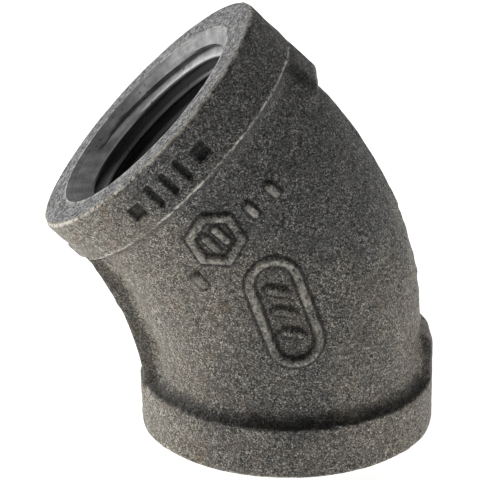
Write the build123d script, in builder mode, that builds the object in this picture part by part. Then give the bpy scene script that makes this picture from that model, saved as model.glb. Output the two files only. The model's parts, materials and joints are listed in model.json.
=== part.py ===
from build123d import *

import os
from math import cos, radians, sin, tan

# A 45 degree pipe elbow for 3/4-14 NPT pipe: one malleable-iron casting with a female thread at each end.
# The origin is the centre of the lower mouth, +Z runs up the lower socket, and the bend leans towards -X.

# ---- Driving dimensions, in millimetres and degrees ----
bend_angle = 45
centre_to_end = 24.9  # from the corner, where the two socket axes cross, to either mouth
bend_radius = 30.0  # of the body's centre line
body_radius = 17.0
passage_radius = 13.9

wide_bend_radius = 50.0  # of a second tube, which fills out the inside of the bend
wide_bend_trim = 5  # angle left out at either end of that tube, behind the bands

band_radius = 18.515
band_width = 6.3  # straight outer surface of a band, measured from its mouth
rim_radius = 0.5  # rounding of a band's outer edge at the mouth
crown_radius = 0.6  # convex rounding where a band turns down to the body
root_radius = 2.2  # concave rounding where it meets the body
swell_radius = 16.87  # of a second, smaller band inside the bend
swell_shift = 2.2  # of that band's axis
swell_root_radius = 2.8
band_turn_angle = 62.7  # how far both roundings turn

bevel_radius = 14.5  # entry bevel at the mouth
bevel_depth = 2.27
thread_bore_radius = 11.71  # tapping drill for 3/4-14 NPT
thread_bore_length = 12.7  # plain wall that holds the thread
socket_depth = bevel_depth + thread_bore_length

lug_half_width = 4.3
lug_start = 3.0  # inside the band, from the mouth
lug_end = 10.4  # where the crest starts to round down
lug_end_radius = 2.7
lug_root = 3.0  # how deep a lug starts inside the body
lug_draft = 8

web_half_width = 4.4
web_sag = 1.28  # how far the web's outline bows in from a straight line
web_root = 8.0  # how deep the web starts inside the body
web_draft = 6

# ---- Marks, placed in the elbow's own plane ----
mark_height = 0.4  # of the raised marks on the body
mark_line = 0.95  # width of a raised line
hexagon_place = (-9.4, 32.0)
hexagon_radius = 3.7
hexagon_bar_length = 2.8
hexagon_bar_spacing = 1.7
oblong_place = (-1.0, 22.1)
oblong_tilt = -71
oblong_length = 15.0
oblong_width = 7.0
slant_bar_length = 3.0
slant_bar_tilt = 60
dash_places = ((-11.4, 26.2), (-5.0, 35.6), (-2.4, 37.7))
dash_length = 2.2

mark_depth = 0.4  # of the sunk marks on the upper band
sunk_mark_middle = 3.7  # from the mouth
sunk_bar_length = 3.3
sunk_bar_width = 0.85
sunk_bar_spacing = 2.4
sunk_square_side = 1.9
sunk_square_spacing = 11.0

# ---- Frame of the two mouths ----
# Each mouth plane has its x direction on the outside of the bend and its normal pointing into the fitting.
lean = radians(bend_angle)
straight_length = centre_to_end - bend_radius * tan(lean / 2)
wide_bend_height = centre_to_end - wide_bend_radius * tan(lean / 2)
upper_centre = (-centre_to_end * sin(lean), 0, centre_to_end * (1 + cos(lean)))
lower_mouth = Plane(origin=(0, 0, 0), x_dir=(1, 0, 0), z_dir=(0, 0, 1))
upper_mouth = Plane(origin=upper_centre, x_dir=(cos(lean), 0, sin(lean)), z_dir=(sin(lean), 0, -cos(lean)))


def side_plane(mouth, shift=0.0):
    """The elbow's own plane seen from one mouth: x is outwards from the socket's axis, or from a line shifted
    towards the inside of the bend, and y is the depth from the mouth."""
    origin = mouth.origin - mouth.x_dir * shift
    return Plane(origin=origin, x_dir=mouth.x_dir, z_dir=mouth.x_dir.cross(mouth.z_dir))


def in_elbow_plane(mouth, outwards, depth):
    """A point of the XZ plane, given by its place seen from one mouth."""
    point = side_plane(mouth).from_local_coords((outwards, depth, 0))
    return (point.X, point.Z)


# ---- Centre lines of the two tubes that make up the body ----
with BuildLine(Plane.XZ) as centre_line:
    lower_run = Line((0, 0), (0, straight_length))
    bend = JernArc(lower_run @ 1, lower_run % 1, bend_radius, bend_angle)
    Line(bend @ 1, in_elbow_plane(upper_mouth, 0, 0))

with BuildLine(Plane.XZ) as wide_line:
    CenterArc(
        (-wide_bend_radius, wide_bend_height),
        wide_bend_radius,
        wide_bend_trim,
        bend_angle - 2 * wide_bend_trim,
    )


def sweep_body(radius):
    """Adds both tubes, at one radius, to the part being built."""
    for path in (centre_line.line, wide_line.line):
        with BuildSketch(Plane(origin=path @ 0, z_dir=path % 0)) as section:
            Circle(radius)
        sweep(sections=section.sketch, path=path)


# ---- Raised marks on the side of the body: a hexagon, a long oblong, bars and dashes ----
with BuildPart() as mark_limit:
    sweep_body(body_radius + mark_height)

with BuildPart() as body_marks:
    with BuildSketch(Plane.XZ):
        with Locations(hexagon_place):
            RegularPolygon(radius=hexagon_radius, side_count=6)
            RegularPolygon(radius=hexagon_radius - mark_line, side_count=6, mode=Mode.SUBTRACT)
        with Locations(Location((*hexagon_place, 0), (0, 0, -bend_angle))):
            with GridLocations(0, hexagon_bar_spacing, 1, 2):
                SlotOverall(hexagon_bar_length, mark_line)
        with Locations(Location((*oblong_place, 0), (0, 0, oblong_tilt))):
            SlotOverall(oblong_length, oblong_width)
            SlotOverall(oblong_length - 2 * mark_line, oblong_width - 2 * mark_line, mode=Mode.SUBTRACT)
            with GridLocations(slant_bar_length, 0, 3, 1):
                SlotOverall(slant_bar_length, mark_line, rotation=slant_bar_tilt)
        with Locations(*dash_places):
            SlotOverall(dash_length, mark_line, rotation=-bend_angle)
    extrude(amount=band_radius)
    add(mark_limit, mode=Mode.INTERSECT)

# ---- Sunk marks on the upper band: three bars between two squares ----
with BuildPart() as band_marks:
    with BuildSketch(Plane(origin=upper_centre, x_dir=upper_mouth.x_dir, z_dir=(0, -1, 0))):
        with Locations((0, -sunk_mark_middle)):
            with GridLocations(sunk_bar_spacing, 0, 3, 1):
                SlotOverall(sunk_bar_length, sunk_bar_width, rotation=90)
            with GridLocations(sunk_square_spacing, 0, 2, 1):
                Rectangle(sunk_square_side, sunk_square_side)
    extrude(amount=band_radius + mark_depth)
    with BuildSketch(upper_mouth):
        Circle(band_radius - mark_depth)
    extrude(amount=band_width, mode=Mode.SUBTRACT)

# ---- The cored passage between the two sockets ----
with BuildPart() as passage:
    with BuildLine(Plane.XZ):
        passage_line = JernArc((0, straight_length), (0, 1), bend_radius, bend_angle)
    with BuildSketch(Plane.XY.offset(straight_length)):
        Circle(passage_radius)
    sweep(path=passage_line)
    for mouth in (lower_mouth, upper_mouth):
        with BuildSketch(mouth):
            Circle(2 * passage_radius)
        extrude(amount=socket_depth, mode=Mode.SUBTRACT)

# ---- The casting ----
with BuildPart() as elbow_casting:
    sweep_body(body_radius)

    for mouth in (lower_mouth, upper_mouth):
        # the band round the mouth, and a smaller one set towards the inside of the bend, where it swells;
        # each runs down to the body in one smooth turn
        for radius, shift, foot_radius in (
            (band_radius, 0, root_radius),
            (swell_radius, swell_shift, swell_root_radius),
        ):
            band_plane = side_plane(mouth, shift)
            with BuildSketch(band_plane):
                with BuildLine():
                    face = Line((0, 0), (radius - rim_radius, 0))
                    rim = JernArc(face @ 1, (1, 0), rim_radius, 90)
                    outside = Line(rim @ 1, (radius, band_width))
                    crown = JernArc(outside @ 1, (0, 1), crown_radius, band_turn_angle)
                    foot = JernArc(crown @ 1, crown % 1, foot_radius, -band_turn_angle)
                    Polyline(foot @ 1, (0, (foot @ 1).Y), (0, 0))
                make_face()
            revolve(axis=Axis(band_plane.origin, mouth.z_dir))

        # the lug behind the band, on the outside of the bend
        with BuildSketch(side_plane(mouth)):
            with BuildLine():
                crest = Line((band_radius, lug_start), (band_radius, lug_end))
                lug_nose = JernArc(crest @ 1, (0, 1), lug_end_radius, 90)
                Polyline(
                    lug_nose @ 1,
                    (body_radius - lug_root, lug_end + lug_end_radius),
                    (body_radius - lug_root, lug_start),
                    crest @ 0,
                )
            make_face()
        extrude(amount=lug_half_width, both=True, taper=lug_draft)

    # the web that fills the inside of the bend, from band to band
    with BuildSketch(Plane.XZ):
        with BuildLine():
            lower_end = in_elbow_plane(lower_mouth, -band_radius, band_width)
            upper_end = in_elbow_plane(upper_mouth, -band_radius, band_width)
            web_outline = SagittaArc(lower_end, upper_end, web_sag)
            Polyline(
                web_outline @ 1,
                in_elbow_plane(upper_mouth, web_root - body_radius, band_width / 2),
                in_elbow_plane(lower_mouth, web_root - body_radius, band_width / 2),
                web_outline @ 0,
            )
        make_face()
    extrude(amount=web_half_width, both=True, taper=web_draft)

    add(body_marks)
    add(band_marks, mode=Mode.SUBTRACT)
    add(passage, mode=Mode.SUBTRACT)

    # the entry bevel and the threaded socket, machined from each mouth
    for mouth in (lower_mouth, upper_mouth):
        with BuildSketch(side_plane(mouth)):
            Polygon(
                (0, 0),
                (bevel_radius, 0),
                (thread_bore_radius, bevel_depth),
                (thread_bore_radius, socket_depth),
                (0, socket_depth),
                align=None,
            )
        revolve(axis=Axis(mouth.origin, mouth.z_dir), mode=Mode.SUBTRACT)

elbow_casting.part.label = "elbow_casting"

os.makedirs("parts", exist_ok=True)
export_step(elbow_casting.part, "parts/elbow_casting.step")
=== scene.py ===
"""A 45 degree pipe elbow in black malleable iron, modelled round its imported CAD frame.

The casting is one closed mesh, built as rings round the bend: the rough outer skin with its bands,
lugs, web and marks, the two mouths, the tapered threads and the cored passage between them.
"""

import json

import bmesh
import bpy
import numpy as np
from mathutils import Matrix, Vector


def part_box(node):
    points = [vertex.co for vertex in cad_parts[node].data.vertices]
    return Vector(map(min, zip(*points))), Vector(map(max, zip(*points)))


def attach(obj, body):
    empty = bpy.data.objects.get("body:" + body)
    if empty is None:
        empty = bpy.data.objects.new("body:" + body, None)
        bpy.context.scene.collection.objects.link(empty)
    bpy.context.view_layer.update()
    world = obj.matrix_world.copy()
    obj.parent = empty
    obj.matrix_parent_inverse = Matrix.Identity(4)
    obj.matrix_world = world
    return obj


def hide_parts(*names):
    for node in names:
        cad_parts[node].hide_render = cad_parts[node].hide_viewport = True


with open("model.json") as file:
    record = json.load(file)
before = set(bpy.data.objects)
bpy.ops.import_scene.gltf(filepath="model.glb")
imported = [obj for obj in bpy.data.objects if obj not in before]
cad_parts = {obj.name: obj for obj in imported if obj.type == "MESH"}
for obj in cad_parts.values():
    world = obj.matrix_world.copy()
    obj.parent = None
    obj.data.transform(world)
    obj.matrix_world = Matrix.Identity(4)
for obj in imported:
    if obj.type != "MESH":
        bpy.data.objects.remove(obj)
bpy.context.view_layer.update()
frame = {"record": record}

MM = 0.001  # shapes are worked out in millimetres, and scaled to metres when the mesh is made

# ---- Dimensions from the frame ----
NODE = "elbow_casting"
mounts = {m["name"]: m for m in frame["record"]["mounts"]}
upper_centre = np.array(mounts["upper_face"]["pos_m"]) / MM
upper_out = np.array(mounts["upper_face"]["axis"])
socket_dims = mounts["lower_socket"]["dims"]
bevel_depth = mounts["lower_socket"]["pos_m"][2] / MM
socket_depth = bevel_depth + socket_dims["length_mm"]
lean = np.arctan2(-upper_out[0], upper_out[2])
centre_to_end = upper_centre[0] / upper_out[0]
band_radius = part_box(NODE)[1][1] / MM

# ---- Dimensions of the casting, as in the CAD model ----
BEND_RADIUS = 30.0
WIDE_BEND_RADIUS = 50.0  # of the second tube that fills out the inside of the bend
BODY_RADIUS = 17.0
PASSAGE_RADIUS = 13.9
BEVEL_RADIUS = 14.5  # at the mouth
BEVEL_SHIFT = 0.45  # of the bevel's centre, towards the inside of the bend
BAND_WIDTH = 6.3
RIM_RADIUS = 0.5
CROWN_RADIUS = 0.6
ROOT_RADIUS = 2.2
BAND_TURN = np.radians(62.7)
SWELL = 0.55  # of the bands, inside the bend
SWELL_SHIFT = 2.2
LUG_HALF_WIDTH = 3.9
LUG_SLOPE = 0.45  # of its sides
LUG_EDGE = 0.6  # blending length along its top edges
LUG_ROOT = 1.3  # and where it meets the body
LUG_END = 10.4  # where the crest starts to round down
LUG_END_RADIUS = 2.7
WEB_REACH = 22.94  # from the corner of the centre lines to the middle of the web's outline
WEB_CURVE = 40.0  # radius of that outline
WEB_HALF_WIDTH = 3.7
WEB_SLOPE = 0.3
WEB_EDGE = 0.7
WEB_ROOT = 1.8
UNDER_BAND = 2.0  # how far a rib runs on under a band
PARTING_HEIGHT = 0.11
PARTING_HALF_WIDTH = 0.28
FLASH_STUB = 0.10
LIP_LAND = 0.45  # width of the face's last ring before the bevel
straight = centre_to_end - BEND_RADIUS * np.tan(lean / 2)
line_length = 2 * straight + BEND_RADIUS * lean
shoulder_end = BAND_WIDTH + (CROWN_RADIUS + ROOT_RADIUS) * np.sin(BAND_TURN)
bevel_slope = (BEVEL_RADIUS - socket_dims["r_mm"]) / bevel_depth
corner = np.array([0.0, centre_to_end])  # where the two socket axes cross, in the elbow's plane

# ---- Thread: 14 to the inch, 60 degree form, taper 1 in 16 on the diameter ----
PITCH = 25.4 / 14
MAJOR_RADIUS = 13.28  # at the mouth
MINOR_RADIUS = 11.83
TAPER = 1 / 32
CREST_FLAT = 0.10  # widths as shares of the pitch
ROOT_FLAT = 0.06
THREAD_START = -0.44  # turns by which the helix is set round

# ---- Mesh density ----
ROUND_COUNT = 336  # points round the outer skin
INNER_STEP = 2  # the inside uses every second one
EDGE_ROWS = 7  # across each rounded edge
SHOULDER_ROWS = 11
PLAIN_BAND_ROWS = 16
MARKED_BAND_ROWS = 25
BODY_ROWS = 120
FACE_ROWS = 8
PASSAGE_ROWS = 22
STEP_ROWS = 3  # at the bottom of each socket
MERGE_DISTANCE = 0.0015  # the grids' shared edges meet within this
SHARP_ANGLE = np.radians(38)  # machined edges bent more than this are drawn sharp


# ---------------------------------------------------------------- noise
def lattice_value(ix, iy, iz, seed):
    """A repeatable random number from -1 to 1 for each point of a cubic lattice."""
    h = (ix * 374761393 + iy * 668265263 + iz * 1274126177 + seed * 974634777) & 0xFFFFFFFF
    h = ((h ^ (h >> 13)) * 1103515245) & 0xFFFFFFFF
    h = ((h ^ (h >> 16)) * 2246822519) & 0xFFFFFFFF
    return ((h >> 8) & 0xFFFF) / 32767.5 - 1.0


def noise(points, size, seed):
    """Smooth noise from -1 to 1 at points, with bumps about one size across."""
    q = points / size + 100.0
    cell = np.floor(q).astype(np.int64)
    t = q - cell
    t = t * t * (3.0 - 2.0 * t)
    total = 0.0
    for dx in (0, 1):
        for dy in (0, 1):
            for dz in (0, 1):
                away = np.abs(np.array([1 - dx, 1 - dy, 1 - dz]) - t)
                weight = away[..., 0] * away[..., 1] * away[..., 2]
                value = lattice_value(cell[..., 0] + dx, cell[..., 1] + dy, cell[..., 2] + dz, seed)
                total = total + weight * value
    return total


def smooth_max(a, b, k):
    h = np.clip(0.5 + 0.5 * (a - b) / k, 0.0, 1.0)
    return b + (a - b) * h + k * h * (1.0 - h)


def smooth_min(a, b, k):
    return -smooth_max(-a, -b, k)


def step(low, high, x):
    t = np.clip((x - low) / (high - low), 0.0, 1.0)
    return t * t * (3.0 - 2.0 * t)


def bell(x, width):
    return np.exp(-((x / width) ** 2))


def spread(start, end, density, count):
    """count values from start to end, closer together where density(x) is high."""
    x = np.linspace(start, end, 4001)
    d = density(x)
    total = np.concatenate([[0.0], np.cumsum((d[1:] + d[:-1]) / 2)])
    return np.interp(np.linspace(0, total[-1], count), total, x)


# ---------------------------------------------------------------- the bend
def on_bend(s, r, angle):
    """Points of the bent tube: s along the centre line from the lower mouth, r out from it, at an angle
    from the outside of the bend."""
    turn = np.clip((s - straight) / BEND_RADIUS, 0.0, lean)
    ahead = np.maximum(s - straight - BEND_RADIUS * lean, 0.0)
    out = r * np.cos(angle)
    x = -BEND_RADIUS + (BEND_RADIUS + out) * np.cos(turn) - ahead * np.sin(turn)
    z = np.minimum(s, straight) + (BEND_RADIUS + out) * np.sin(turn) + ahead * np.cos(turn)
    return np.stack([x, r * np.sin(angle) + 0 * turn, z + 0 * out], axis=-1)


def unbend(points):
    """The reverse of on_bend: s, r and angle of each point."""
    x, y, z = points[..., 0], points[..., 1], points[..., 2]
    turn = np.clip(np.arctan2(z - straight, x + BEND_RADIUS), 0.0, lean)
    out = (x + BEND_RADIUS) * np.cos(turn) + (z - straight) * np.sin(turn) - BEND_RADIUS
    ahead = (z - straight) * np.cos(turn) - (x + BEND_RADIUS) * np.sin(turn)
    return straight + BEND_RADIUS * turn + ahead, np.hypot(out, y), np.arctan2(y, out)


def centre_line(s):
    """Points of the centre line in the elbow's plane, as x and z."""
    return on_bend(s, 0 * s, 0 * s)[..., (0, 2)]


class Mouth:
    """One end of the elbow, in its own coordinates: depth into it, radius and angle."""

    def __init__(self, centre, inwards, outside, side):
        self.centre = centre
        self.inwards = inwards
        self.outside = outside
        self.side = side

    def at(self, depth, r, angle):
        depth, r, angle = np.broadcast_arrays(depth, r, angle)
        return (
            self.centre
            + depth[..., None] * self.inwards
            + (r * np.cos(angle))[..., None] * self.outside
            + (r * np.sin(angle))[..., None] * self.side
        )

    def depth_of(self, points):
        return (points - self.centre) @ self.inwards

    def radius_of(self, points):
        away = points - self.centre
        return np.linalg.norm(away - (away @ self.inwards)[:, None] * self.inwards, axis=1)

    def angle_of(self, points):
        away = points - self.centre
        return np.arctan2(away @ self.side, away @ self.outside)


Y_AXIS = np.array([0.0, 1.0, 0.0])
lower = Mouth(np.zeros(3), np.array([0.0, 0.0, 1.0]), np.array([1.0, 0.0, 0.0]), Y_AXIS)
upper = Mouth(upper_centre, -upper_out, np.array([np.cos(lean), 0.0, np.sin(lean)]), -Y_AXIS)


def own_depth(points):
    """Depth from the nearer mouth."""
    return np.minimum(np.abs(lower.depth_of(points)), np.abs(upper.depth_of(points)))


# ---------------------------------------------------------------- shape of the outer skin
def round_over(radius, along):
    """Height lost by a rounded edge, at a place along it measured from where the rounding starts."""
    return radius - np.sqrt(np.maximum(radius**2 - np.clip(along, 0.0, radius) ** 2, 0.0))


def band_profile(depth):
    """Radius of the band and its run down to the body, at a depth from the mouth."""
    crown_end = BAND_WIDTH + CROWN_RADIUS * np.sin(BAND_TURN)
    rim = band_radius - round_over(RIM_RADIUS, RIM_RADIUS - depth)
    crown = band_radius - round_over(CROWN_RADIUS, depth - BAND_WIDTH)
    root = BODY_RADIUS + round_over(ROOT_RADIUS, shoulder_end - depth)
    within = [depth < BAND_WIDTH, depth < crown_end, depth < shoulder_end]
    return np.select(within, [rim, crown, root], BODY_RADIUS)


def shifted_circle(radius, shift, angle):
    """Distance to a circle whose centre is shifted towards the inside of the bend."""
    return -shift * np.cos(angle) + np.sqrt(radius**2 - (shift * np.sin(angle)) ** 2)


def swell(angle):
    """How far a band stands out inside the bend, where it follows a smaller circle set off its axis."""
    reach = shifted_circle(band_radius + SWELL - SWELL_SHIFT, SWELL_SHIFT, angle)
    blend = 0.12
    return smooth_max(reach - band_radius, 0.0 * angle, blend)


def fullness(s, angle):
    """How far the second, wider tube stands out of the first one."""
    wide_centre = corner - WIDE_BEND_RADIUS * np.array([1.0, np.tan(lean / 2)])
    shift = np.linalg.norm(centre_line(s) - wide_centre, axis=-1) - WIDE_BEND_RADIUS
    blend = 0.15
    reach = shifted_circle(BODY_RADIUS, shift, angle)
    return smooth_max(reach - BODY_RADIUS, 0.0 * angle, blend) - blend / 4


def ridge(away, top, half_width, slope, edge):
    """Radius of a rib of height top seen end on: away is the angle from its middle, slope the lean of its
    sides."""
    c = np.maximum(np.cos(away), 0.05)
    flank = (half_width + slope * top) / (np.abs(np.sin(away)) + slope * c)
    return np.where(c > 0.5, smooth_min(top / c, flank, edge), 0.0)


def lug_radius(s, angle):
    """The lug behind a band, on the outside of the bend. Its end is rounded down."""
    depth = own_depth(on_bend(s, BODY_RADIUS + 0 * s, angle))
    top = band_radius - round_over(LUG_END_RADIUS, depth - LUG_END)
    lug = ridge(angle, top, LUG_HALF_WIDTH, LUG_SLOPE, LUG_EDGE)
    return np.where((depth > UNDER_BAND) & (depth < LUG_END + LUG_END_RADIUS), lug, 0.0)


def web_radius(s, angle):
    """The web inside the bend: its outline is a shallow hollow curve from band to band."""
    turn = np.clip((s - straight) / BEND_RADIUS, 0.0, lean)
    inside = -np.stack([np.cos(turn), np.sin(turn)], axis=-1)
    curve_centre = corner - (WEB_REACH + WEB_CURVE) * np.array([np.cos(lean / 2), np.sin(lean / 2)])
    to_centre = curve_centre - centre_line(s)
    ahead = np.sum(to_centre * inside, axis=-1)
    aside = np.sum(to_centre**2, axis=-1) - ahead**2
    top = ahead - np.sqrt(WEB_CURVE**2 - aside)
    web = ridge(angle - np.pi, top, WEB_HALF_WIDTH, WEB_SLOPE, WEB_EDGE)
    return np.where(np.minimum(s, line_length - s) > BAND_WIDTH - UNDER_BAND, web, 0.0)


def skin_radius(s, angle):
    depth = np.minimum(s, line_length - s)
    r = band_profile(depth)
    share = np.clip((r - BODY_RADIUS) / (band_radius - BODY_RADIUS), 0.0, 1.0)
    r = r + swell(angle) * share + fullness(s, angle) * (1 - share)
    r = smooth_max(r, web_radius(s, angle), WEB_ROOT)
    return np.minimum(smooth_max(r, lug_radius(s, angle), LUG_ROOT), np.maximum(r, band_radius))


def parting_line(r, angle, points):
    """The thin uneven seam left where the two halves of the mould met, with a few stubs of flash."""
    across = bell(r * np.sin(angle), PARTING_HALF_WIDTH)
    height = PARTING_HEIGHT * (0.75 + 0.6 * noise(points, 3.1, 21) + 0.3 * noise(points, 0.9, 22))
    stub = FLASH_STUB * step(0.45, 0.75, noise(points, 2.3, 23))
    return across * np.maximum(height + stub, 0.02)


# ---------------------------------------------------------------- marks
EDGE = 0.3  # how far a mark's side slopes
LINE = 0.95
RAISED_HEIGHT = 0.5
SUNK_DEPTH = 0.6
HEXAGON_AT = (-9.4, 32.0)
HEXAGON_RADIUS = 3.7
HEXAGON_FLOOR = -0.4
HEXAGON_BAR = (2.8, 0.8)  # length and width
OBLONG_AT = (-1.0, 22.1)
OBLONG_TILT = np.radians(-71)
OBLONG_SIZE = (15.0, 7.0)
OBLONG_FLOOR = -0.2
OBLONG_BAR = (3.0, LINE)
DASHES_AT = ((-11.4, 26.2), (-5.0, 35.6), (-2.4, 37.7))
DASH = (2.2, LINE)
BAND_MARKS_DEPTH = 3.7  # of their middle line, from the upper mouth
BAND_BAR = (3.3, 0.85)
BAND_SQUARE = 1.9


def slot_distance(x, z, centre, tilt, size):
    """Distance outside a round-ended bar, whose size is its length and width."""
    length, width = size
    c, s = np.cos(tilt), np.sin(tilt)
    u = (x - centre[0]) * c + (z - centre[1]) * s
    v = -(x - centre[0]) * s + (z - centre[1]) * c
    u = np.maximum(np.abs(u) - (length - width) / 2, 0.0)
    return np.hypot(u, v) - width / 2


def hexagon_distance(x, z, centre, radius):
    u, v = x - centre[0], z - centre[1]
    reach = radius * np.cos(np.pi / 6)
    d = np.full(np.shape(u), -1e9)
    for i in range(6):
        a = np.pi / 6 + i * np.pi / 3
        d = np.maximum(d, u * np.cos(a) + v * np.sin(a) - reach)
    return d


def square_distance(x, z, centre, tilt, side):
    c, s = np.cos(tilt), np.sin(tilt)
    u = np.abs((x - centre[0]) * c + (z - centre[1]) * s)
    v = np.abs(-(x - centre[0]) * s + (z - centre[1]) * c)
    return np.maximum(u, v) - side / 2


def raised(distance, height):
    return height * (1 - step(-EDGE / 2, EDGE / 2, distance))


def outline(distance, width):
    return np.abs(distance + width / 2) - width / 2


def hexagon_mark(x, z):
    """A raised hexagon round a sunk floor with two bars."""
    hexagon = hexagon_distance(x, z, HEXAGON_AT, HEXAGON_RADIUS)
    h = raised(hexagon + LINE, HEXAGON_FLOOR) + raised(outline(hexagon, LINE), RAISED_HEIGHT)
    for offset in (-0.6, 0.6):
        at = (HEXAGON_AT[0] + offset, HEXAGON_AT[1] + offset)
        h = np.maximum(h, raised(slot_distance(x, z, at, -lean, HEXAGON_BAR), RAISED_HEIGHT) - 0.01)
    return h


def oblong_mark(x, z):
    """A raised oblong with three slanted bars."""
    oblong = slot_distance(x, z, OBLONG_AT, OBLONG_TILT, OBLONG_SIZE)
    h = raised(oblong + LINE, OBLONG_FLOOR) + raised(outline(oblong, LINE), RAISED_HEIGHT)
    bar_tilt = OBLONG_TILT + np.radians(60)
    for along in (-3.0, 0.0, 3.0):
        at = (OBLONG_AT[0] + along * np.cos(OBLONG_TILT), OBLONG_AT[1] + along * np.sin(OBLONG_TILT))
        h = h + raised(slot_distance(x, z, at, bar_tilt, OBLONG_BAR), RAISED_HEIGHT)
    return h


def body_marks(x, z):
    """Height of the raised marks on the body, over a point of the elbow's plane."""
    h = hexagon_mark(x, z) + oblong_mark(x, z)
    for at in DASHES_AT:
        h = h + raised(slot_distance(x, z, at, -lean, DASH), RAISED_HEIGHT)
    return h


def band_marks(x, z):
    """Depth of the sunk marks on the upper band: three bars between two squares."""
    along = np.array([np.cos(lean), np.sin(lean)])
    middle = upper_centre[[0, 2]] + BAND_MARKS_DEPTH * np.array([np.sin(lean), -np.cos(lean)])
    h = np.zeros(np.shape(x))
    for offset in (-2.4, 0.0, 2.4):
        at = middle + offset * along
        h = h - raised(slot_distance(x, z, at, lean + np.pi / 2, BAND_BAR), SUNK_DEPTH)
    for offset in (-5.5, 5.5):
        h = h - raised(square_distance(x, z, middle + offset * along, lean, BAND_SQUARE), SUNK_DEPTH)
    return h


def marks(points):
    """Height of the marks at points of the plain skin."""
    x, y, z = points[..., 0], points[..., 1], points[..., 2]
    front = step(-3.4, -8.5, y)
    on_band = upper.depth_of(points) < BAND_WIDTH
    return front * np.where(on_band, band_marks(x, z), body_marks(x, z))


# ---------------------------------------------------------------- rings
def round_density(angle):
    """Rings are closest at the front, where the marks are, along the parting plane and at rib sides."""
    from_front = np.abs((angle + np.pi / 2 + np.pi) % (2 * np.pi) - np.pi)
    from_seam = np.abs((angle + np.pi / 2) % np.pi - np.pi / 2)
    front = 1.6 * np.exp(-((from_front / 0.75) ** 4))
    seam = 1.2 * bell(from_seam, 0.04)
    rib_side = 2.0 * bell(from_seam - 0.22, 0.06)
    return 1.0 + front + seam + rib_side


angles = spread(0, 2 * np.pi, round_density, ROUND_COUNT + 1)[:-1]


def skin_stations():
    rim = RIM_RADIUS * (1 - np.cos(np.linspace(0, np.pi / 2, EDGE_ROWS)))
    crown = BAND_WIDTH + CROWN_RADIUS * np.sin(np.linspace(0, BAND_TURN, EDGE_ROWS)[1:])
    shoulder = np.concatenate([crown, np.linspace(crown[-1], shoulder_end, SHOULDER_ROWS)[1:]])
    plain_band = np.linspace(RIM_RADIUS, BAND_WIDTH, PLAIN_BAND_ROWS)[1:]
    marked_band = np.linspace(RIM_RADIUS, BAND_WIDTH, MARKED_BAND_ROWS)[1:]
    body = np.linspace(shoulder_end, line_length - shoulder_end, BODY_ROWS)[1:-1]
    first = np.concatenate([rim, plain_band, shoulder])
    last = line_length - np.concatenate([rim, marked_band, shoulder])
    return np.concatenate([first, body, last[::-1]])


def outer_skin():
    s, angle = np.meshgrid(skin_stations(), angles, indexing="ij")
    r = skin_radius(s, angle)
    plain = on_bend(s, r, angle)
    clear_of_rims = step(0.2, 0.8, np.minimum(s, line_length - s))
    r = r + marks(plain) + parting_line(r, angle, plain) * clear_of_rims
    return on_bend(s, r, angle)


def face_ring(mouth, angle, outer_r, inner_r, rows):
    r = np.linspace(outer_r + 0 * angle, inner_r, rows)
    return mouth.at(0.0, r, angle[None, :])


def bevel_edge(angle):
    """Radius of the bevel at the mouth."""
    return shifted_circle(BEVEL_RADIUS, BEVEL_SHIFT, angle)


def thread_form(phase):
    """Share of the thread's height, from 0 at the crest to 1 at the root, over one pitch."""
    flank = (1 - CREST_FLAT - ROOT_FLAT) / 2
    down = (phase - CREST_FLAT) / flank
    up = (1 - phase) / flank
    return np.clip(np.minimum(down, up), 0.0, 1.0)


def thread_rows():
    """Places of the mesh rows within one pitch: on every corner of the form and twice along each flank."""
    flank = (1 - CREST_FLAT - ROOT_FLAT) / 2
    root = CREST_FLAT + flank
    going_down = CREST_FLAT + flank * np.array([0, 1 / 3, 2 / 3])
    coming_up = root + ROOT_FLAT + flank * np.array([0, 1 / 3, 2 / 3])
    return np.concatenate([[0], going_down, [root], coming_up])


def socket_grid(mouth, angle):
    """The bevel and thread as one strip that winds down the socket. Its rows follow the helix, and those
    past either end lie on that end, where they merge into a closed ring."""
    rows = thread_rows()
    turns = np.arange(-2, int(socket_depth / PITCH) + 2)
    winding = (turns[:, None] + rows[None, :]).ravel()
    phase = np.tile(rows, len(turns))
    local = np.sort(angle * mouth.side[1] % (2 * np.pi))
    lead = local[None, :] / (2 * np.pi) + THREAD_START
    depth = (winding[:, None] + lead) * PITCH
    held = np.clip(depth, 0.0, socket_depth)
    at_end = (held / PITCH - lead) % 1.0
    true_phase = np.where(depth == held, phase[:, None], at_end)
    height = MAJOR_RADIUS - MINOR_RADIUS
    r = MINOR_RADIUS + height * thread_form(true_phase) - held * TAPER
    r = np.maximum(r, bevel_edge(local)[None, :] - held * bevel_slope)
    return mouth.at(held, r, local[None, :]), len(rows)


def passage_rings(angle, rows):
    """The cored passage, from the end of one socket to the end of the other."""
    reach = BEND_RADIUS + PASSAGE_RADIUS * np.cos(angle)
    first = np.arcsin((socket_depth - straight) / reach)
    t = np.linspace(0, 1, rows)[:, None]
    turn = first + t * (lean - 2 * first)
    x = -BEND_RADIUS + reach * np.cos(turn)
    z = straight + reach * np.sin(turn)
    y = PASSAGE_RADIUS * np.sin(angle) + 0 * turn
    return np.stack([x, y, z], axis=-1)


def shoulder_rings(mouth, angle, passage_end, rows):
    """The flat step at the bottom of a socket, from the thread's end out to the passage."""
    local = angle * mouth.side[1]
    phase = (socket_depth / PITCH - (local % (2 * np.pi)) / (2 * np.pi) - THREAD_START) % 1.0
    r = MINOR_RADIUS + (MAJOR_RADIUS - MINOR_RADIUS) * thread_form(phase) - socket_depth * TAPER
    start = mouth.at(socket_depth, r, local)
    t = np.linspace(0, 1, rows)[:, None, None]
    return start[None] * (1 - t) + passage_end[None] * t


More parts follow.
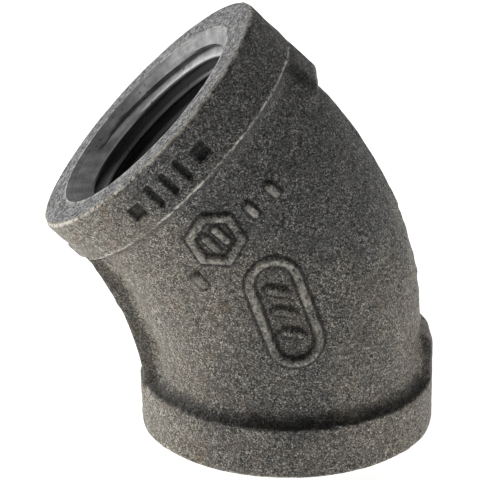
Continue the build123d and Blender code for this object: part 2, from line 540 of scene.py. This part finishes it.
# ---------------------------------------------------------------- one closed mesh
class MeshData:
    """Collects grids of points and the faces between them."""

    def __init__(self):
        self.points = []
        self.faces = []
        self.tags = []
        self.count = 0

    def add_points(self, grid):
        first = self.count
        self.points.append(grid.reshape(-1, 3))
        self.count += grid.shape[0] * grid.shape[1]
        return first

    def add_grid(self, grid, tag, shift=0):
        """Faces of a grid whose rows close on themselves. With a shift, the last column joins the first one
        that many rows on, as a thread does."""
        rows, cols = grid.shape[:2]
        first = self.add_points(grid)
        for k in range(rows - 1):
            for i in range(cols):
                near, far = first + k * cols + i, first + (k + 1) * cols + i
                if i < cols - 1:
                    quad = (near, near + 1, far + 1, far)
                elif k + 1 + shift < rows:
                    start = first + (k + shift) * cols
                    quad = (near, start, start + cols, far)
                else:
                    continue
                self.faces.append(quad)
                self.tags.append(tag)

    def add_halving(self, fine, coarse, tag):
        """Joins a ring to one with half as many points."""
        n = len(coarse)
        a = self.add_points(fine[None])
        b = self.add_points(coarse[None])
        for j in range(n):
            o0, o1, o2 = a + 2 * j, a + 2 * j + 1, a + (2 * j + 2) % (2 * n)
            i0, i1 = b + j, b + (j + 1) % n
            self.faces += [(o0, o1, i0), (o1, i1, i0), (o1, o2, i1)]
            self.tags += [tag] * 3


SKIN, FACED, MACHINED, CORED = range(4)


def build_casting():
    data = MeshData()
    data.add_grid(outer_skin(), SKIN)
    coarse = angles[::INNER_STEP]
    passage = passage_rings(coarse, PASSAGE_ROWS)
    data.add_grid(passage, CORED)
    for mouth, end in ((lower, passage[0]), (upper, passage[-1])):
        turned = angles * mouth.side[1]
        face = face_ring(mouth, turned, band_radius - RIM_RADIUS, bevel_edge(turned) + LIP_LAND, FACE_ROWS)
        face[0] = end_of_skin(mouth)
        data.add_grid(face, FACED)
        inner = turned[::INNER_STEP]
        data.add_halving(face[-1], mouth.at(0.0, bevel_edge(inner), inner), FACED)
        socket, shift = socket_grid(mouth, coarse)
        data.add_grid(socket, MACHINED, shift)
        data.add_grid(shoulder_rings(mouth, coarse, end, STEP_ROWS), CORED)
    return data


def end_of_skin(mouth):
    """The edge of the outer skin at a mouth, where its face starts."""
    s = 0.0 if mouth is lower else line_length
    return on_bend(s + 0 * angles, skin_radius(s + 0 * angles, angles), angles)


def casting_mesh(data):
    """Merges the grids into one closed mesh, in metres."""
    points = np.concatenate(data.points)
    bm = bmesh.new()
    verts = [bm.verts.new(p) for p in points * MM]
    for quad, tag in zip(data.faces, data.tags):
        bm.faces.new([verts[i] for i in quad]).material_index = tag
    bmesh.ops.remove_doubles(bm, verts=bm.verts[:], dist=MERGE_DISTANCE * MM)
    bmesh.ops.dissolve_degenerate(bm, edges=bm.edges[:], dist=0.001 * MM)
    bmesh.ops.delete(bm, geom=[v for v in bm.verts if not v.link_faces], context="VERTS")
    bmesh.ops.recalc_face_normals(bm, faces=bm.faces[:])
    for face in bm.faces:
        face.smooth = True
    for edge in bm.edges:
        machined = any(f.material_index == MACHINED for f in edge.link_faces)
        edge.smooth = not (machined and edge.calc_face_angle(0.0) > SHARP_ANGLE)
    mesh = bpy.data.meshes.new(NODE + "_skin")
    bm.to_mesh(mesh)
    bm.free()
    return mesh


# ---------------------------------------------------------------- surface detail carried by the mesh
def read_vertices(mesh, name):
    values = np.empty(len(mesh.vertices) * 3)
    mesh.vertices.foreach_get(name, values)
    return values.reshape(-1, 3)


def add_attribute(mesh, name, values):
    mesh.attributes.new(name, "FLOAT", "POINT").data.foreach_set("value", values.astype(np.float32))


def curvature(mesh, points, normals, rounds):
    """Mean bend of the surface at each vertex, in 1/mm and positive on edges, averaged over neighbours."""
    ends = np.empty(len(mesh.edges) * 2, dtype=np.int64)
    mesh.edges.foreach_get("vertices", ends)
    a, b = ends.reshape(-1, 2).T
    across = points[b] - points[a]
    square = np.maximum(np.sum(across**2, axis=1), 1e-6)
    count = len(points)
    links = np.bincount(a, minlength=count) + np.bincount(b, minlength=count)
    at_a = -2 * np.sum(across * normals[a], axis=1) / square
    at_b = 2 * np.sum(across * normals[b], axis=1) / square
    bend = (np.bincount(a, at_a, count) + np.bincount(b, at_b, count)) / links
    for _ in range(rounds):
        near = (np.bincount(a, bend[b], count) + np.bincount(b, bend[a], count)) / links
        bend = 0.5 * bend + 0.5 * near
    return bend


def warmth_and_light(points):
    """Share of browner, lighter tones in the skin, which paints light as well as tint: most along the inside
    and outside of the bend and on the lower band, where light falls, least on the cheeks and over the top,
    which stay in shade."""
    from_cheek = 1 - np.abs(points[:, 1]) / BODY_RADIUS
    low_band = step(BAND_WIDTH + 2, BAND_WIDTH - 1, points[:, 2])
    high = step(27.0, 40.0, points[:, 2] + 0.4 * points[:, 0])
    on_upper_band = upper.depth_of(points) < BAND_WIDTH
    inside = step(0.1, -0.9, np.cos(unbend(points)[2])) * np.where(on_upper_band, 1.5, 0.6)
    blotches = 0.55 * noise(points, 8.0, 11) + 0.35 * noise(points, 3.0, 12)
    # Painted light and shade: lighter along the inside and outside of the bend and on the lower band, darker
    # over the top; the blotches are random tint.
    total = blotches + 1.3 * (from_cheek - 0.06) + 0.3 * low_band + inside - 1.6 * high
    return step(-0.8, 1.0, total)


def crease_shade(points, ragged):
    """Painted shade: black along the crease above the lower band."""
    depth = lower.depth_of(points) - BAND_WIDTH
    return step(0.15, 0.5, depth + 0.3 * ragged) * step(2.6, 0.6, depth + 1.3 * ragged)


def behind_band_shade(points, ragged):
    """Painted shade: a thin black line behind the upper band."""
    return bell(upper.depth_of(points) - BAND_WIDTH - 0.9, 0.45) * (0.55 + 0.5 * ragged)


def rib_side_shade(points, ragged):
    """Painted shade: black on the sides of the lugs and the web."""
    s, r, angle = unbend(points)
    proud = step(0.3, 0.9, r - BODY_RADIUS - fullness(s, angle) + 0.3 * ragged)
    side = step(2.6, 3.6, np.abs(points[:, 1])) * step(0.6, 1.0, own_depth(points) - BAND_WIDTH)
    share = np.where(np.cos(angle) > 0.8, 0.85, np.where(np.cos(angle) < -0.8, 0.6, 0.0))
    return proud * side * share


def mark_shade(points, ragged):
    """Painted shade: black in the floors of the marks, and a painted shadow along their sides."""
    own = marks(points)
    black = step(0.15, 0.38, -own) * (1.15 + 0.3 * ragged)
    for x, z in ((0.5, 0.0), (-0.5, 0.0), (0.0, 0.5), (0.0, -0.5)):
        rise = marks(points + np.array([x, 0.0, z])) - own
        black = np.maximum(black, 0.95 * step(0.12, 0.42, rise))
    return black


def painted_shade(points):
    """Share of painted shade, near black, in the skin."""
    ragged = 0.5 * noise(points, 1.6, 13) + 0.3 * noise(points, 0.6, 14)
    places = [place(points, ragged) for place in (crease_shade, behind_band_shade, rib_side_shade, mark_shade)]
    return np.clip(np.max(places, axis=0), 0.0, 1.0)


def edge_wear_and_highlight(mouth, points, rim_share, crown_share):
    """Bright metal worn along a band's rim and the lip of its bevel, and a painted highlight along its crown
    edge.
    """
    depth = mouth.depth_of(points)
    r = mouth.radius_of(points)
    angle = mouth.angle_of(points)
    inset = band_radius + swell(angle) - r
    rim = bell(np.hypot(depth - 0.15, inset - 0.15), 0.17)
    # Painted highlight along the crown edge.
    crown = bell(np.hypot(depth - BAND_WIDTH - 0.25, inset - 0.06), 0.14)
    lip = bell(np.hypot(depth, r - bevel_edge(angle)), 0.15)
    return np.max([rim_share * rim, crown_share * crown, 1.2 * lip], axis=0)


def wear_and_highlight(points):
    """Share of bright metal: broken lines worn along the upper band's rim, with a painted highlight along
    its crown, traces along the lower one's rim, and the tops of the marks."""
    on_lower = edge_wear_and_highlight(lower, points, 0.77, 0.0)
    on_upper = edge_wear_and_highlight(upper, points, 2.2, 1.0)
    on_marks = 0.42 * step(0.3, 0.48, marks(points))
    broken = 0.7 + 0.8 * noise(points, 2.2, 15) + 0.8 * noise(points, 0.7, 16)
    return np.clip(np.max([on_lower, on_upper, on_marks], axis=0) * broken, 0.0, 1.0)


def machined_vertices(mesh):
    machined = np.zeros(len(mesh.vertices), dtype=bool)
    for face in mesh.polygons:
        if face.material_index == MACHINED:
            machined[list(face.vertices)] = True
    return machined


def add_attributes(mesh, points, normals):
    """What the materials need to know about the clean shape, kept on the mesh."""
    nearer_upper = upper.depth_of(points) < lower.depth_of(points)
    radius = np.where(nearer_upper, upper.radius_of(points), lower.radius_of(points))
    outwards = np.where(nearer_upper, -(normals @ upper.inwards), -(normals @ lower.inwards))
    add_attribute(mesh, "bend", curvature(mesh, points, normals, 2))
    add_attribute(mesh, "warmth_and_light", warmth_and_light(points))
    add_attribute(mesh, "painted_shade", painted_shade(points))
    add_attribute(mesh, "wear_and_highlight", wear_and_highlight(points))
    add_attribute(mesh, "turned", radius - own_depth(points))
    add_attribute(mesh, "facing", outwards)


def on_end_face(mouth, points, normals):
    return step(0.6, 0.9, -(normals @ mouth.inwards)) * (mouth.depth_of(points) < 0.3)


ROUGHNESS = ((7.0, 0.07), (2.6, 0.06), (1.2, 0.06), (0.6, 0.035))  # size and height of the skin's bumps


def roughen(mesh):
    """Uneven sand-cast surface, in the mesh itself. The machined faces stay true, and the end faces only
    lose height."""
    points = read_vertices(mesh, "co") / MM
    normals = read_vertices(mesh, "normal")
    add_attributes(mesh, points, normals)
    height = sum(h * noise(points, size, 1 + i) for i, (size, h) in enumerate(ROUGHNESS))
    on_end = np.maximum(on_end_face(lower, points, normals), on_end_face(upper, points, normals))
    height = np.where(on_end > 0.02, np.minimum(0.5 * height, 0.0), height)
    height = np.where(machined_vertices(mesh), 0.0, height)
    points = points + normals * height[:, None]
    mesh.vertices.foreach_set("co", (points * MM).ravel())
    mesh.update()


# ---------------------------------------------------------------- materials
class Nodes:
    """A short way to write a material's node tree."""

    def __init__(self, name):
        self.material = bpy.data.materials.new(name)
        self.material.use_nodes = True
        self.tree = self.material.node_tree
        self.shader = self.tree.nodes["Principled BSDF"]
        self.place = self.tree.nodes.new("ShaderNodeTexCoord").outputs["Object"]

    def put(self, value, socket):
        if isinstance(value, (int, float, tuple)):
            socket.default_value = value
        else:
            self.tree.links.new(value, socket)

    def attribute(self, name):
        node = self.tree.nodes.new("ShaderNodeAttribute")
        node.attribute_name = name
        return node.outputs["Fac"]

    def noise(self, size, detail=2.0, rough=0.5):
        node = self.tree.nodes.new("ShaderNodeTexNoise")
        node.inputs["Scale"].default_value = 1 / (size * MM)
        node.inputs["Detail"].default_value = detail
        node.inputs["Roughness"].default_value = rough
        self.put(self.place, node.inputs["Vector"])
        return node.outputs["Fac"]

    def grains(self, size):
        """Packed grains: the distance from each one's middle, and two random numbers of its own."""
        node = self.tree.nodes.new("ShaderNodeTexVoronoi")
        node.inputs["Scale"].default_value = 1 / (size * MM)
        self.put(self.place, node.inputs["Vector"])
        split = self.tree.nodes.new("ShaderNodeSeparateColor")
        self.put(node.outputs["Color"], split.inputs["Color"])
        return node.outputs["Distance"], split.outputs["Red"], split.outputs["Green"]

    def lines(self, value, width):
        """Streaks that depend on one value alone."""
        node = self.tree.nodes.new("ShaderNodeTexNoise")
        node.noise_dimensions = "1D"
        node.inputs["Scale"].default_value = 1 / width
        node.inputs["Detail"].default_value = 2.0
        self.put(value, node.inputs["W"])
        return node.outputs["Fac"]

    def ramp(self, value, *stops):
        node = self.tree.nodes.new("ShaderNodeValToRGB")
        self.put(value, node.inputs["Fac"])
        elements = node.color_ramp.elements
        while len(elements) < len(stops):
            elements.new(0.5)
        for element, (at, colour) in zip(elements, stops):
            element.position = at
            element.color = (*colour, 1.0) if isinstance(colour, tuple) else (colour, colour, colour, 1.0)
        return node.outputs["Color"]

    def mix(self, factor, a, b):
        node = self.tree.nodes.new("ShaderNodeMix")
        node.data_type = "RGBA"
        self.put(factor, node.inputs["Factor"])
        self.put((*a, 1.0) if isinstance(a, tuple) else a, node.inputs["A"])
        self.put((*b, 1.0) if isinstance(b, tuple) else b, node.inputs["B"])
        return node.outputs["Result"]

    def maths(self, operation, a, b=0.0):
        node = self.tree.nodes.new("ShaderNodeMath")
        node.operation = operation
        self.put(a, node.inputs[0])
        self.put(b, node.inputs[1])
        return node.outputs[0]

    def share(self, value, factor):
        return self.maths("MULTIPLY", value, factor)

    def span(self, value, low, high):
        """0 at low and 1 at high, either way round."""
        node = self.tree.nodes.new("ShaderNodeMapRange")
        self.put(value, node.inputs["Value"])
        node.inputs["From Min"].default_value = low
        node.inputs["From Max"].default_value = high
        return node.outputs["Result"]

    def bump(self, height, depth, under=None):
        node = self.tree.nodes.new("ShaderNodeBump")
        node.inputs["Strength"].default_value = 1.0
        node.inputs["Distance"].default_value = depth * MM
        self.put(height, node.inputs["Height"])
        if under is not None:
            self.put(under, node.inputs["Normal"])
        return node.outputs["Normal"]

    def finish(self, colour, roughness, normal, metallic=0.0, specular=0.5):
        self.put(colour, self.shader.inputs["Base Color"])
        self.put(roughness, self.shader.inputs["Roughness"])
        self.put(normal, self.shader.inputs["Normal"])
        self.put(metallic, self.shader.inputs["Metallic"])
        self.put(specular, self.shader.inputs["Specular IOR Level"])
        return self.material


# The warm tones are lighter than the cool ones, so where the skin is warmer it is also painted lighter.
COOL_SHADED_SKIN = (
    (0.1, (0.012, 0.012, 0.0118)),
    (0.4, (0.076, 0.0755, 0.074)),
    (0.62, (0.175, 0.173, 0.168)),
    (0.9, (0.62, 0.61, 0.585)),
)
WARM_LIT_SKIN = (
    (0.1, (0.033, 0.03, 0.025)),
    (0.4, (0.196, 0.18, 0.146)),
    (0.62, (0.402, 0.368, 0.3)),
    (0.9, (0.93, 0.865, 0.72)),
)
FACED_TONES = ((0.25, (0.02, 0.02, 0.021)), (0.5, (0.11, 0.109, 0.11)), (0.8, (0.48, 0.475, 0.47)))
BEVEL_TONES = ((0.2, (0.1, 0.1, 0.102)), (0.5, (0.18, 0.18, 0.182)), (0.8, (0.33, 0.329, 0.327)))
# Painted light and shade in the threads: flank tones by the way they face, shade deep in, a highlight on the
# crests.
THREAD_FLANK_SHADING = ((0.0, (0.045, 0.045, 0.046)), (0.6, (0.27, 0.27, 0.27)))
THREAD_DEEP_SHADE = (0.06, 0.06, 0.06)
THREAD_CREST_HIGHLIGHT = (0.55, 0.55, 0.55)
PASSAGE_TONES = ((0.35, (0.03, 0.028, 0.028)), (0.65, (0.12, 0.115, 0.11)))
BLUISH = (0.12, 0.122, 0.135)
RUST = (0.25, 0.15, 0.085)
GAP = (0.012, 0.011, 0.01)
# Near black used for painted shade in creases, hollows and around marks.
SHADE_COLOUR = (0.012, 0.0115, 0.011)
FACED_PIT = (0.02, 0.02, 0.02)
MACHINED_PIT = (0.03, 0.03, 0.03)
# Worn metal, also used for the painted highlight along the upper band's crown.
WORN_AND_HIGHLIGHT_SKIN = (0.8, 0.75, 0.65)
RUBBED_FACE = (0.75, 0.73, 0.68)


def skin_tone(n, tone, patch):
    """Light and dark of the grains, evened out in patches."""
    even = n.share(n.span(n.noise(2.4, 2.0, 0.6), 0.4, 0.7), 0.45)
    tone = n.mix(even, tone, (0.5, 0.5, 0.5))
    return n.maths("ADD", n.share(tone, 0.66), n.share(n.span(patch, 0.2, 0.8), 0.34))


def rub_and_highlight(n, colour, patch, bright):
    """Bright metal where the surface is worn, and the painted highlight along the upper band's crown, broken
    up by patches.
    """
    bright_share = n.maths("MULTIPLY", n.attribute("wear_and_highlight"), n.span(patch, 0.36, 0.54))
    return n.mix(n.share(bright_share, 0.9), colour, bright)


def cast_skin():
    """Black malleable iron as it leaves the sand: packed grains from near black to cream, browner and
    painted lighter in places, with painted shade in the hollows and creases, worn bright along the upper
    band's rim and with a painted highlight along its crown."""
    n = Nodes("cast_iron_skin")
    distance, tone, tint = n.grains(0.155)
    patch = n.noise(0.6, 3.0, 0.6)
    fine = n.noise(0.16, 2.0, 0.6)
    shade = skin_tone(n, tone, patch)
    # Painted light as well as tint: the warm tones are lighter.
    brown_and_light = n.maths("ADD", n.attribute("warmth_and_light"), n.share(n.maths("SUBTRACT", tint, 0.5), 0.7))
    colour = n.mix(n.span(brown_and_light, 0.0, 1.0), n.ramp(shade, *COOL_SHADED_SKIN), n.ramp(shade, *WARM_LIT_SKIN))
    colour = n.mix(n.share(n.span(tint, 0.84, 0.92), 0.5), colour, BLUISH)
    rust = n.span(n.noise(1.7, 2.0, 0.5), 0.56, 0.72)
    colour = n.mix(n.maths("MULTIPLY", rust, n.share(n.attribute("warmth_and_light"), 0.42)), colour, RUST)
    colour = n.mix(n.share(n.span(distance, 0.45, 0.8), 0.6), colour, GAP)
    # Painted shade: near black where the surface is concave, along the crease, behind the upper band, on the
    # rib sides and around the marks.
    hollow = n.share(n.span(n.attribute("bend"), -0.2, -0.9), 0.6)
    colour = n.mix(n.maths("MAXIMUM", hollow, n.share(n.attribute("painted_shade"), 0.8)), colour, SHADE_COLOUR)
    colour = rub_and_highlight(n, colour, patch, WORN_AND_HIGHLIGHT_SKIN)
    roughness = n.ramp(tint, (0.1, 0.8), (0.9, 0.45))
    normal = n.bump(patch, 0.34, n.bump(fine, 0.04))
    normal = n.bump(n.maths("SUBTRACT", 1.0, distance), 0.05, normal)
    return n.finish(colour, roughness, normal, specular=0.3)


def faced_iron():
    """The ends of the bands, faced off flat: neutral grey and finely pitted, with faint turning rings."""
    n = Nodes("faced_iron")
    rings = n.lines(n.attribute("turned"), 0.22)
    tone = n.grains(0.2)[1]
    patch = n.noise(0.9, 3.0, 0.65)
    shade = n.maths("ADD", n.share(tone, 0.5), n.share(n.span(patch, 0.3, 0.7), 0.3))
    shade = n.maths("ADD", shade, n.share(rings, 0.3))
    pits = n.span(n.noise(0.5, 2.0, 0.5), 0.36, 0.31)
    colour = n.mix(pits, n.ramp(shade, *FACED_TONES), FACED_PIT)
    colour = rub_and_highlight(n, colour, patch, RUBBED_FACE)
    normal = n.bump(patch, 0.2, n.bump(rings, 0.02))
    return n.finish(colour, 0.65, normal, specular=0.25)


def thread_colour(n):
    """Painted light in the threads: grey on the flanks that face out, near black painted shade on the others
    and deep in, and a painted highlight on the crests.
    """
    flank = n.ramp(n.attribute("facing"), *THREAD_FLANK_SHADING)
    deep = n.span(n.attribute("turned"), 8.8, 7.4)
    flank = n.mix(n.share(deep, 0.75), flank, THREAD_DEEP_SHADE)
    crest = n.span(n.attribute("bend"), 0.3, 0.9)
    return n.mix(n.share(crest, 0.8), flank, THREAD_CREST_HIGHLIGHT)


def machined_iron():
    """Cut iron in the bevels and threads: smooth grey metal with fine turning rings."""
    n = Nodes("machined_iron")
    rings = n.lines(n.attribute("turned"), 0.25)
    stain = n.noise(2.2, 3.0, 0.6)
    shade = n.maths("ADD", n.share(n.span(stain, 0.3, 0.7), 0.5), n.share(rings, 0.5))
    in_thread = n.span(n.attribute("turned"), 10.5, 9.0)
    colour = n.mix(in_thread, n.ramp(shade, *BEVEL_TONES), thread_colour(n))
    pits = n.span(n.noise(0.6, 2.0, 0.5), 0.33, 0.28)
    colour = n.mix(pits, colour, MACHINED_PIT)
    roughness = n.ramp(n.noise(0.5, 2.0, 0.5), (0.3, 0.42), (0.7, 0.6))
    normal = n.bump(rings, 0.02, n.bump(n.noise(0.25, 2.0, 0.5), 0.012))
    return n.finish(colour, roughness, normal, metallic=0.1)


def cored_iron():
    """The passage behind the threads, dark and rough from its sand core."""
    n = Nodes("cored_iron")
    grain = n.noise(0.5, 3.0, 0.6)
    return n.finish(n.ramp(grain, *PASSAGE_TONES), 0.75, n.bump(grain, 0.25))


# ---------------------------------------------------------------- the object
casting = bpy.data.objects.new("elbow_body", casting_mesh(build_casting()))
bpy.context.scene.collection.objects.link(casting)
for material in (cast_skin(), faced_iron(), machined_iron(), cored_iron()):
    casting.data.materials.append(material)
roughen(casting.data)
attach(casting, "root")
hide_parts(NODE)


# ---------------------------------------------------------------- stage, light and camera
FLOOR_GLOW = 0.92
WORLD_GLOW = 0.02
PANEL_DISTANCE = 0.6
PANEL_SIZE = 0.4


def floor_material():
    """Near-white and evenly lit from below, like the glass of a product table."""
    n = Nodes("pale_floor")
    colour = n.ramp(n.noise(40.0), (0.3, 0.86), (0.7, 0.9))
    n.shader.inputs["Emission Color"].default_value = (1, 1, 1, 1)
    n.shader.inputs["Emission Strength"].default_value = FLOOR_GLOW
    return n.finish(colour, 0.9, n.bump(n.noise(2.0), 0.002), specular=0.1)


def add_floor():
    mesh = bpy.data.meshes.new("floor")
    far = 3.0
    level = -0.02 * MM  # just clear of the elbow's own end face
    corners = [(-far, -far, level), (far, -far, level), (far, far, level), (-far, far, level)]
    mesh.from_pydata(corners, [], [(0, 1, 2, 3)])
    mesh.materials.append(floor_material())
    floor = bpy.data.objects.new("floor", mesh)
    bpy.context.scene.collection.objects.link(floor)


def aim(obj, target):
    obj.rotation_mode = "QUATERNION"
    obj.rotation_quaternion = (Vector(target) - obj.location).to_track_quat("-Z", "Y")


def direction(azimuth, elevation):
    """A unit vector: azimuth 0 is the camera's side, and 90 the right."""
    azimuth, elevation = np.radians(azimuth), np.radians(elevation)
    level = np.cos(elevation)
    return Vector((np.sin(azimuth) * level, -np.cos(azimuth) * level, np.sin(elevation)))


middle = Vector((0.0, 0.0, centre_to_end * MM))


def add_panel(name, azimuth, elevation, power):
    light = bpy.data.lights.new(name, "AREA")
    light.shape = "DISK"
    light.size = PANEL_SIZE
    light.energy = power
    obj = bpy.data.objects.new(name, light)
    obj.location = middle + direction(azimuth, elevation) * PANEL_DISTANCE
    obj.visible_camera = False
    bpy.context.scene.collection.objects.link(obj)
    aim(obj, middle)


LENS = 240.5  # millimetres, on the default 36 mm sensor
CAMERA_AZIMUTH = -1.741
CAMERA_ELEVATION = 22.18
CAMERA_ROLL = np.radians(-0.2)
CAMERA_DISTANCE = 0.4094
CORNER_RIGHT = 6.2 * MM  # where the corner sits in the picture, from its middle
CORNER_UP = 0.06 * MM


def add_camera():
    camera = bpy.data.cameras.new("camera")
    camera.lens = LENS
    camera.clip_start = 0.01
    field = CAMERA_DISTANCE * camera.sensor_width / LENS
    camera.shift_x = -CORNER_RIGHT / field
    camera.shift_y = -CORNER_UP / field
    obj = bpy.data.objects.new("camera", camera)
    obj.location = middle + direction(CAMERA_AZIMUTH, CAMERA_ELEVATION) * CAMERA_DISTANCE
    aim(obj, middle)
    roll = Matrix.Rotation(CAMERA_ROLL, 4, "Z").to_quaternion()
    obj.rotation_quaternion = obj.rotation_quaternion @ roll
    bpy.context.scene.collection.objects.link(obj)
    bpy.context.scene.camera = obj


def add_world():
    """White behind the object, but with almost no light of its own: the table and the panels light it."""
    world = bpy.data.worlds.new("studio")
    world.use_nodes = True
    tree = world.node_tree
    seen = tree.nodes.new("ShaderNodeLightPath").outputs["Is Camera Ray"]
    strength = tree.nodes.new("ShaderNodeMapRange")
    strength.inputs["To Min"].default_value = WORLD_GLOW
    strength.inputs["To Max"].default_value = 1.0
    tree.links.new(seen, strength.inputs["Value"])
    background = tree.nodes["Background"]
    background.inputs["Color"].default_value = (1, 1, 1, 1)
    tree.links.new(strength.outputs["Result"], background.inputs["Strength"])
    bpy.context.scene.world = world


add_floor()
add_world()
add_panel("left_panel", azimuth=-115, elevation=15, power=3.2)
add_panel("back_panel", azimuth=180, elevation=50, power=0.55)
add_panel("right_panel", azimuth=100, elevation=10, power=0.6)
add_camera()
bpy.context.scene.view_settings.view_transform = "Standard"
